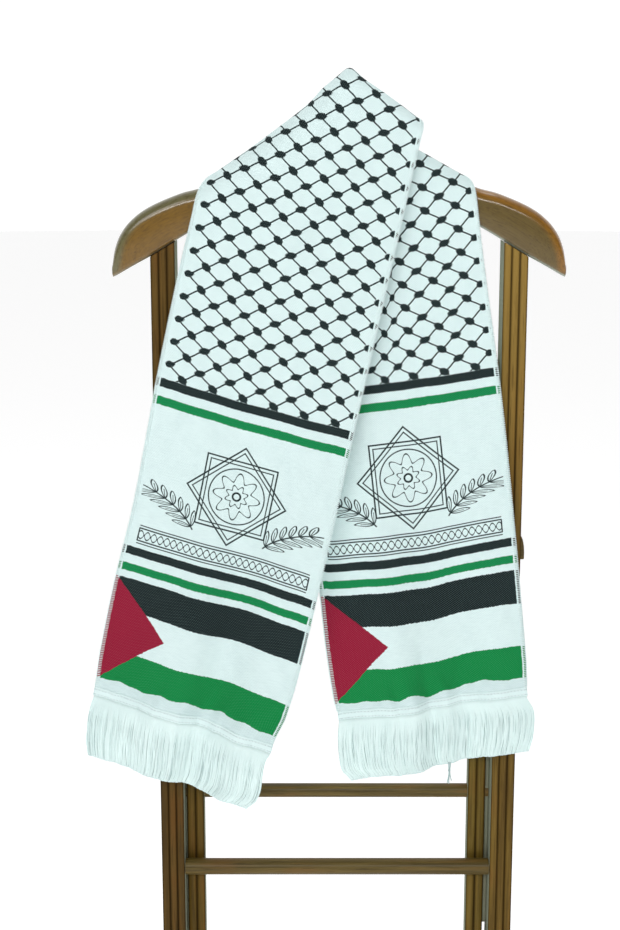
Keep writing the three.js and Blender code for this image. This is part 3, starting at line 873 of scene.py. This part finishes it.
def yoke_material(tones):
    """The yoke's wood: grain along the arms, painted light on the left arm and painted shade with
    reflection on the right, painted reflection and light along the rounded top, and a painted
    reflection along the underside.

    The mesh carries how far along its arm, below the top and above the underside each point is.
    """
    paint = Paint("yoke_wood")
    where = paint.place(weave=True)
    grain, pores = wood_grain(paint, where, 0, (420.0, 40.0))
    along, down, up = paint.split(where)
    mottled = paint.noise(where, 260.0, 3.0)
    right = (along + grain * 0.05).ramp(-0.02, 0.06)
    # painted reflection along the left arm's rounded top, painted light along the right arm's
    rim = paint.layers(tones["left_rim_reflection"], (tones["right_rim_light"], right))
    colour = paint.layers(
        # painted light: the left arm's face lit golden, the right arm's face darker and greyer as
        # painted shade and reflection
        tones["left"],
        (tones["right"], right),
        (rim, 1 - (down + grain * 0.002).ramp(0.006, 0.013)),
        (tones["dark"], (1 - grain.ramp(0.3, 0.62)) * 0.2),
        (tones["dark"], mottled.ramp(0.45, 0.75) * 0.25),
        (tones["dark"], pores.ramp(0.52, 0.7) * 0.45),
        # painted reflection of the floor along the underside, stronger on the right arm
        (tones["edge"], (1 - (up + grain * 0.001).ramp(0.0016, 0.0034)) * (right * 0.45 + 0.3)),
    )
    finish_wood(paint, colour, 0.15, grain, pores)
    paint.set(Coat_Weight=1.0, Coat_Roughness=0.16)
    return paint.material


# ---------- cloth pieces ----------

cloth = cloth_material()
tape_yarn = yarn_material("tape_cotton", (224, 243, 242), (200, 221, 221), 1500.0, seamed=True)
fringe_yarn = yarn_material("fringe_cotton", (232, 250, 248), (208, 229, 228), 2500.0)
# darker yarn: painted shade for the layer behind each fringe, and the loose thread's own tone
backing_shade_and_thread_yarn = yarn_material("fringe_depth_shade", (178, 200, 199), (150, 174, 174), 2500.0)
overlock_yarn = yarn_material("overlock_cotton", (236, 250, 249), (214, 231, 231), 2500.0)

left_grid, left_run, left_shift = panel_grid(LEFT)
right_grid, right_run, right_shift = panel_grid(RIGHT)
back_grid = band_grid(left_grid, right_grid)
inner = slice(0, BAND_COLUMNS + 1)
back_steps = np.linalg.norm(np.diff(back_grid, axis=0), axis=-1)
back_run = np.concatenate([np.zeros((1, BAND_COLUMNS + 1)), np.cumsum(back_steps, axis=0)])
total = left_run[-1, inner] + back_run[-1] + right_run[-1, inner]
repeats = round((total.mean() + 12 - 2 * NET["knot"][1]) / NET["along"])
whole_length = 2 * NET["knot"][1] + repeats * NET["along"]
left_run = pattern_run(LEFT, left_run, columns)
right_run = pattern_run(RIGHT, right_run, columns)

# x is across each panel's own pattern, y up from its hem; the third number carries the net, which
# runs on unbroken from one end to the other and looks the same when turned half round its knot
share = back_run / back_run[-1]
back_y = lerp(left_run[-1, inner], whole_length - right_run[-1, inner], share)
left_v, right_v = columns + left_shift, columns + right_shift
right_net = 2 * NET["knot"][0] + NET["other"] - right_v
back_v = columns[inner]
left_weave = (left_v, left_run, left_v)
right_weave = (WIDTH - right_v, right_run, right_net)
back_weave = (back_v, back_y, back_v - NET["other"] * share)
front_left = shell("scarf_left_cloth", left_grid, CLOTH, cloth, left_weave)
front_right = shell("scarf_right_cloth", right_grid, CLOTH, cloth, right_weave)
behind_neck = shell("scarf_back_cloth", back_grid, CLOTH, cloth, back_weave)


def overlock(grid, edge):
    """Thread wrapped round the first or last column of the cloth, in slanted, even stitches."""
    pitch = 1.9
    rim = grid[:, edge]
    inward = unit(grid[:, 3 if edge == 0 else -4] - rim)
    normal = grid_normals(grid)[:, edge]
    run = np.concatenate([[0], np.cumsum(np.linalg.norm(np.diff(rim, axis=0), axis=-1))])
    stitches = int(run[-1] / pitch)
    # one stitch, as (depth inwards, height over the cloth), and the same again underneath
    over = [(3.6, 0.8), (1.9, 0.95), (0.4, 0.9), (-0.9, 0.45)]
    corners = np.array(over + [(depth, -height) for depth, height in reversed(over)])
    steps = len(corners)
    at = (np.arange(stitches * steps) / steps + 0.5) * pitch
    depth, height = np.tile(corners, (stitches, 1)).T
    depth = depth + 0.3 * np.repeat(rng.uniform(-1, 1, stitches), steps) * (depth > 1)

    def along_rim(data):
        return np.stack([np.interp(at, run, data[:, i]) for i in range(3)], -1)

    middle = along_rim(rim)
    path = middle + unit(along_rim(inward)) * depth[:, None] + unit(along_rim(normal)) * height[:, None]
    return tube_parts(path[None], 0.4, unit(np.gradient(middle, axis=0))[None])


BOTH_EDGES = (0, -1)
stitching = {}
for name, grid, edges in (
    ("left", left_grid, BOTH_EDGES), ("right", right_grid, BOTH_EDGES), ("back", back_grid, (0,)),
):
    stitching[name] = tubes(f"overlock_{name}", [overlock(grid, k) for k in edges], overlock_yarn)

# ---------- end tapes and fringes ----------

FORWARD = (0, 1, 0)
LOOP_END = 0.985  # share of a fringe's length at which its yarns turn into the loop


def end_point(side, drop, v):
    """Point below the woven hem, in the plane of the panel's last rows."""
    v = np.asarray(v, float)
    p = panel_point(side, np.zeros_like(v), v)
    p[..., 1] -= relief(side, np.zeros_like(v), v)
    falls = (np.array(side["hem"]) - side["top"]) / np.array(side["length"])[:, None] * (1, 0, 1)
    return p + lerp(*falls, (v / WIDTH)[..., None]) * np.asarray(drop, float)[..., None]


def end_tape(side):
    """The folded tape below a hem, rounded at its edges and dented along its two seams."""
    rows = 14
    v = np.linspace(0, WIDTH, 160)
    drop = np.linspace(-0.6, TAPE, rows)
    grid = np.stack([end_point(side, np.full_like(v, d), v) for d in drop])
    t = np.linspace(0, 1, rows)[:, None]
    round_edge = np.sqrt(np.clip(1 - (2 * t - 1) ** 6, 0.05, 1))
    dents = 1 - 0.28 * sum(np.exp(-(((t - seam) / 0.05) ** 2)) for seam in (0.2, 0.8))
    grid[..., 1] -= 0.3 * wander(v / 9 + 0 * t, side["seeds"]["tape"])
    thickness = 2.3 * round_edge * dents * (1 + 0.05 * np.sin(v / 2.1))
    return shell(f"tape_{side['name']}_cloth", grid, thickness, tape_yarn, (v, -drop[:, None], v))


def stitch_rows(side):
    """Two rows of even stitches on the front and the back of the end tape."""
    length, gap = 2.7, 0.9
    count = int((WIDTH - 6) / (length + gap))
    starts = 3 + np.arange(count) * (length + gap)
    paths = []
    for drop in SEAMS:
        for face in (-1, 1):
            t = np.linspace(0, 1, 6)
            v = starts[:, None] + t * length
            p = end_point(side, np.full_like(v, drop), v)
            p[..., 1] += face * (0.75 + 0.45 * np.sin(math.pi * t))
            paths.append(p)
    paths = np.concatenate(paths)
    return tubes(f"stitches_{side['name']}", [tube_parts(paths, 0.3, FORWARD)], overlock_yarn)


# fall of a fringe's two outermost yarns, as sideways shifts at shares of their length
FALL = {
    "left": {
        "first": [(0, 0), (0.15, -3.5), (0.4, -7), (0.75, -9), (1, -8.5)],
        "last": [(0, 0), (0.15, -5), (0.4, -8.5), (0.7, -11.5), (0.88, -16), (1, -24)],
        "length": (66, 61),
        "drift": -6.0,
    },
    "right": {
        "first": [(0, 0), (0.25, 7.5), (0.5, 9), (0.75, 8), (1, 4.5)],
        "last": [(0, 0), (0.3, -1.5), (0.6, 0), (0.85, 4), (1, 12)],
        "length": (61, 67),
        "drift": 1.0,
    },
}


def fringe_point(side, v, s):
    """Point of the fringe by the yarn's place v across and share s of its length."""
    fall = FALL[side["name"]]
    top = end_point(side, np.full_like(v, TAPE - 0.8), v)
    across = v / WIDTH
    fade_first, fade_last = (1 - across) ** 1.6, across**1.6
    middle = np.clip(1 - fade_first - fade_last, 0, 1)
    shift = through(fall["first"], s) * fade_first + through(fall["last"], s) * fade_last
    shift = shift + fall["drift"] * s * middle
    length = lerp(fall["length"][0], fall["length"][1], across**1.3)
    p = top.copy()
    p[..., 0] += shift
    p[..., 2] -= length * s
    p[..., 1] -= 2.5 * np.sin(math.pi * np.clip(s, 0, 1)) * (0.6 + 0.4 * np.sin(v / 23))
    return p


def fringe(side):
    """Looped yarns in two layers, gathered into uneven groups, chained along the lower edge."""
    seed = side["seeds"]["fringe"]
    draw = np.random.default_rng(seed)
    pairs = 150
    steps = 18
    inset = 0.9
    gap = (WIDTH - 2 * inset) / (2 * pairs)
    parts = []
    fall = np.linspace(0, 1, steps) * LOOP_END
    loop = np.concatenate([fall, [1.0], fall[::-1]])
    for layer in (0, 1):
        base = inset + gap * (np.arange(pairs) * 2 + 0.5 + 0.5 * layer)
        reach = 1 + draw.uniform(-0.01, 0.01, pairs)
        s = loop[None] * reach[:, None]
        leg = np.concatenate([np.zeros(steps), [0.5], np.ones(steps)])
        v = base[:, None] + leg * gap
        grown = smooth(0.05, 0.4, s)
        warp = wander(v / 2.6 + 0.7 * wander(s * 1.6, seed + 5), seed + layer)
        warp = warp + 0.5 * wander(v / 1.1 + 0.8 * s, seed + 9 + layer)
        p = fringe_point(side, np.clip(v + 0.75 * warp * grown, 0.4, WIDTH - 0.4), s)
        jitter = draw.uniform(-1, 1, (pairs, 1))
        p[..., 1] += (layer - 0.5) * 1.3 + 0.4 * jitter * grown
        p[..., 0] += 0.15 * np.sin(s * 9 + draw.uniform(0, TAU, (pairs, 1))) * grown
        thick = 0.46 + 0.04 * draw.uniform(-1, 1, (pairs, 1))
        parts.append(tube_parts(p, thick, FORWARD))
    parts.append(chain_edge(side))
    return tubes(f"fringe_{side['name']}_yarns", parts, fringe_yarn)


def fringe_depth_shade(side):
    """The dense yarns behind the front ones, as one thin ribbed layer in a darker yarn that paints the
    shade between the front yarns.
    """
    v, s = np.meshgrid(np.linspace(1.2, WIDTH - 1.2, 260), np.linspace(0.0, LOOP_END, 16))
    grid = fringe_point(side, v, s)
    grid[..., 1] += 0.35 * np.sin(v / 0.9) * smooth(0, 0.2, s)
    return shell(f"fringe_{side['name']}_depth", grid, 0.8, backing_shade_and_thread_yarn, (v, s, v))


def chain_edge(side):
    """Crocheted chain that ties the loops together along the lower edge."""
    stitches = 92
    per = 8
    k = np.arange(stitches * per)
    turn = k / per * TAU
    v = np.clip(1 + (WIDTH - 2) * k / len(k) + 0.9 * np.sin(turn), 0.4, WIDTH - 0.4)
    s = 1.0 + 0.013 * np.cos(turn) + 0.006 * wander(k / 30, 3)
    p = fringe_point(side, v, s)
    p[..., 1] += np.sin(turn * 0.5) + 0.3
    return tube_parts(p[None], 0.55, FORWARD)


def loose_thread():
    """One yarn that has slipped its chain and hangs, knotted, from the right fringe."""
    start = fringe_point(RIGHT, np.array([89.0]), np.array([0.98]))[0] - (0, 1, 0)
    t = np.linspace(0, 1, 24)
    parts = []
    for lean, length in ((0.2, 24.0), (1.6, 21.0), (-1.3, 23.0)):
        aside = lean * (0.4 + t**2) + 0.5 * np.sin(5 * t + lean)
        path = start + np.stack([aside, 0.4 * lean * t, -length * t], -1)
        parts.append(tube_parts(path[None], 0.6, FORWARD))
    turn = np.linspace(0, 3 * TAU, 40)
    knot = np.stack([0.9 * np.cos(turn), 0.9 * np.sin(turn), -8.5 - 0.5 * turn / TAU], -1)
    parts.append(tube_parts((start + knot)[None], 0.5, (0, 0, 1)))
    return tubes("loose_thread", parts, backing_shade_and_thread_yarn)


def both(make):
    """One piece for each panel, by its name."""
    return {side["name"]: make(side) for side in (LEFT, RIGHT)}


tapes = both(end_tape)
rows = both(stitch_rows)
fringes = both(fringe)
depths = both(fringe_depth_shade)
thread = loose_thread()

# ---------- stand ----------

# outline of one arm of the yoke from the middle to the tip, and its depth; the other arm mirrors it
YOKE = chart(
    "top under depth",
    ((0, 1063), (0, 1012), 30),
    ((30, 1052), (30, 1009), 30),
    ((90, 1026), (92, 992), 30),
    ((134, 1008.2), (130, 974), 30),
    ((157, 1001.8), (156, 959.5), 30),
    ((180, 992.7), (176, 947), 30),
    ((195, 984.8), (190, 939), 30),
    ((205, 977.2), (200, 933.5), 30),
    ((213, 968.9), (208, 929), 29),
    ((220, 957.8), (215, 925), 27.5),
    ((224.6, 944.5), (221, 921.5), 24),
    ((226.6, 931), (226, 919), 18),
)
ROUNDING = {"top": 12.0, "under": 5.0}


def yoke_depth(t):
    """Depth of the right arm, t counted along the rows of the table."""
    return through(enumerate(row["depth"] for row in YOKE), t)


def yoke_outline(name, t):
    """Points (x, z) of the right arm's upper or lower outline."""
    return np.stack([through(enumerate(row[name][k] for row in YOKE), t) for k in (0, 1)], -1)


def nearest(points, outline):
    """Distance from each point to the nearest point of an outline."""
    return np.linalg.norm(points[..., None, :] - outline, axis=-1).min(axis=-1)


def yoke_ring(t):
    """One cross-section of the right arm, t counted along the rows of the table."""
    top, under = yoke_outline("top", t), yoke_outline("under", t)
    half = yoke_depth(t) / 2
    tall = np.linalg.norm(top - under)
    turns = np.linspace(0, math.pi / 2, 9)
    ring = []
    for back, up in ((-1, 1), (1, 1), (1, -1), (-1, -1)):
        soft = min(ROUNDING["top" if up > 0 else "under"], 0.8 * half, 0.45 * tall)
        for turn in turns if back * up < 0 else turns[::-1]:
            y = back * (half - soft + soft * math.cos(turn))
            rise = soft - soft * math.sin(turn)
            share = 1 - rise / tall if up > 0 else rise / tall
            x, z = lerp(under, top, share)
            ring.append((x, y, z))
    return np.array(ring)


def yoke_piece():
    """The yoke as one smooth bar, its tips rounded over."""
    last = len(YOKE) - 1
    rings = [yoke_ring(t) for t in np.linspace(0, last, 90)]
    tip = rings[-1]
    centre = tip.mean(axis=0)
    for shrink, out in ((0.96, 0.3), (0.85, 0.6), (0.55, 0.75), (0.15, 0.8)):
        rings.append(centre + (tip - centre) * shrink + (out, 0, 0))
    arm = np.array(rings)
    middles = arm.mean(axis=1)
    along = np.linalg.norm(middles - middles[0], axis=-1)[:, None] + 0 * arm[..., 0]
    fine = np.linspace(0, last, 240)
    down, up = (nearest(arm[..., [0, 2]], yoke_outline(name, fine)) for name in ("top", "under"))
    grain = np.stack([along, down, up], -1) * MM
    bar = np.concatenate([arm[:0:-1] * (-1, 1, 1), arm])
    flat = np.concatenate([grain[:0:-1] * (-1, 1, 1), grain])
    steps, sides = bar.shape[:2]
    ids = np.arange(steps * sides).reshape(steps, sides)
    nxt = np.roll(ids, -1, axis=1)
    quads = np.stack([ids[:-1], ids[1:], nxt[1:], nxt[:-1]], -1).reshape(-1, 4)
    caps = [ids[0].tolist(), ids[-1, ::-1].tolist()]
    return mesh_object("yoke_bar", bar.reshape(-1, 3), quads.tolist() + caps, yoke_wood, flat)


# dark, middle and light tone of each wood
WOOD = ((60, 40, 4), (112, 88, 34), (156, 126, 62))
# the left legs' woods are darker copies of the right legs' woods: painted shade
LEFT_WOOD_SHADED = ((46, 32, 4), (92, 68, 24), (104, 82, 38))
INNER_WOOD = ((62, 44, 4), (112, 92, 36), (140, 118, 56))
LEFT_INNER_WOOD_SHADED = ((58, 40, 4), (102, 80, 28), (116, 92, 38))
DOWEL_WOOD = ((50, 38, 10), (98, 82, 38), (132, 114, 64))
STRIP_WOOD = ((112, 114, 94), (140, 144, 124), (160, 166, 148))
YOKE_TONES_AND_PAINTED_LIGHT = {
    # the left arm's face as painted light, the right arm's darker, greyer face as painted shade and
    # reflection
    "left": srgb(120, 88, 22),
    "right": srgb(100, 82, 36),
    # painted reflection on the left arm's rounded top, painted light on the right arm's
    "left_rim_reflection": srgb(104, 100, 66),
    "right_rim_light": srgb(142, 98, 26),
    "dark": srgb(62, 42, 10),
    # painted reflection of the floor, for the underside's edge
    "edge": srgb(150, 160, 148),
}
RED_TINGE = srgb(104, 58, 14)
# painted shade for the grooves between reeds
HOLLOW_SHADE = srgb(34, 22, 4)
# painted reflection for the inner side faces of the reeded legs
FLANK_REFLECTION = srgb(132, 138, 120)
OUTER_REEDS = {"middle": CENTRE_SHIFT, "low": 163.2, "pitch": 8.2}
INNER_REEDS = {"middle": CENTRE_SHIFT - 1.3, "low": 141.6, "pitch": 9.3}
IN_GAP = {"gloss": 0.05, "painted_top_light": 0.2}
KNOBS = "side_knob_right side_knob_left"
# a wood's name, its tones, the axis of its grain, its other settings, and the nodes made of it
WOODS = [
    ("outer_leg_wood", WOOD, 2, {"reeds": OUTER_REEDS}, "outer_leg_right"),
    ("outer_leg_left_shaded_wood", LEFT_WOOD_SHADED, 2, {"reeds": OUTER_REEDS, "painted_top_light": 0.2}, "outer_leg_left"),
    ("inner_leg_wood", INNER_WOOD, 2, {"reeds": INNER_REEDS}, "inner_leg_right"),
    ("inner_leg_left_shaded_wood", LEFT_INNER_WOOD_SHADED, 2, {"reeds": INNER_REEDS, "painted_top_light": 0.2}, "inner_leg_left"),
    ("dowel_wood", DOWEL_WOOD, 0, {"gloss": 0.18}, "upper_dowel lower_dowel rail " + KNOBS),
    ("foot_wood", WOOD, 1, {}, "foot_right foot_left"),
    ("post_wood", WOOD, 2, {}, "neck_post"),
    ("spacer_wood", WOOD, 2, IN_GAP, "leg_spacer_right leg_spacer_left"),
]
for name, tones, along, settings, nodes in WOODS:
    material = wood_material(name, tones, along, **settings)
    for node in nodes.split():
        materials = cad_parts[node].data.materials
        materials.clear()
        materials.append(material)
strip_wood = wood_material("gap_strip_wood", STRIP_WOOD, 2, **IN_GAP)
yoke_wood = yoke_material(YOKE_TONES_AND_PAINTED_LIGHT)
yoke_bar = yoke_piece()


def gap_strip(name, near, far, low):
    """Thin strip set in the gap between an inner and an outer leg, its front edge eased."""
    outline = [(near, 18.0), (near, 4.6), (near + 0.4, 4.0)]
    outline += [(near + far - x, y) for x, y in reversed(outline)]
    heights = ((low, 0.6), (low + 1, 0.0), (810.0, 0.0))
    rings = [[(x, y + ease, z) for x, y in outline] for z, ease in heights]
    return mesh_object(name, rings, ring_faces(np.arange(18).reshape(3, 6)), strip_wood)


strips = [
    gap_strip("gap_strip_right", 158.95, 163.15, 213.0),
    gap_strip("gap_strip_left", -163.15, -161.55, 187.0),
]

# ---------- frame: what rides and what replaces ------------------

STANDS_FOR = [
    (front_left, "scarf_front_left", "scarf_cloth"),
    (front_right, "scarf_front_right", "scarf_cloth"),
    (behind_neck, "scarf_back", "scarf_cloth"),
    (tapes["left"], "end_tape_left", "hem_tape"),
    (tapes["right"], "end_tape_right", "hem_tape"),
    (fringes["left"], "fringe_left", "fringe_yarn"),
    (fringes["right"], "fringe_right", "fringe_yarn"),
    (yoke_bar, "yoke", "yoke_wood"),
]
for piece, node, slot in STANDS_FOR:
    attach(piece, "root")
    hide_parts(node)
for piece in [*stitching.values(), *rows.values()]:
    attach(piece, "root")
for piece in [*depths.values(), thread]:
    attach(piece, "root")
for piece in strips:
    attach(piece, "root")

# ---------- studio ----------


def floor():
    bpy.ops.mesh.primitive_circle_add(vertices=96, radius=14, fill_type="NGON")
    disc = bpy.context.object
    disc.name = "studio_floor"
    paint = Paint("studio_floor")
    paint.set(Base_Color=(0.9, 0.9, 0.9, 1), Roughness=0.95, Specular_IOR_Level=0.1)
    paint.set(Emission_Color=(1, 1, 1, 1), Emission_Strength=0.45)
    disc.data.materials.append(paint.material)


def soft_light(name, place, aim, size, watts):
    light = bpy.data.lights.new(name, "AREA")
    light.shape = "ELLIPSE"
    light.size, light.size_y = size
    light.energy = watts
    obj = bpy.data.objects.new(name, light)
    obj.location = place
    obj.rotation_euler = (Vector(aim) - Vector(place)).to_track_quat("-Z", "Y").to_euler()
    scene.collection.objects.link(obj)


def sky(behind, before):
    """A white room, brighter on the side that lies behind the stand."""
    world = bpy.data.worlds.new("studio")
    world.use_nodes = True
    tree = world.node_tree
    place = add_node(tree, "ShaderNodeTexCoord").outputs["Generated"]
    split = add_node(tree, "ShaderNodeSeparateXYZ", {0: place})
    strength = Field(tree, split.outputs[1]).ramp(-0.3, 0.6) * (behind - before) + before
    background = tree.nodes["Background"].inputs
    feed(tree, background["Color"], (1, 1, 1, 1))
    feed(tree, background["Strength"], strength)
    scene.world = world


def camera():
    data = bpy.data.cameras.new("camera")
    data.lens = 64.53
    data.sensor_width = 36
    obj = bpy.data.objects.new("camera", data)
    obj.location = (-0.0102, -1.6774, 1.0819)
    obj.rotation_euler = (math.radians(78), 0, 0)
    scene.collection.objects.link(obj)
    scene.camera = obj


floor()
sky(1.08, 0.17)
soft_light("key", (-1.6, -2.6, 2.6), (0, 0, 0.7), (1.6, 1.6), 24)
soft_light("top", (0.4, 0.3, 3.2), (0, 0, 0.9), (1.4, 1.4), 14)
soft_light("long", (0.0, -3.0, 2.05), (0, 0, 0.95), (2.6, 0.26), 36)
camera()
scene.view_settings.view_transform = "Standard"
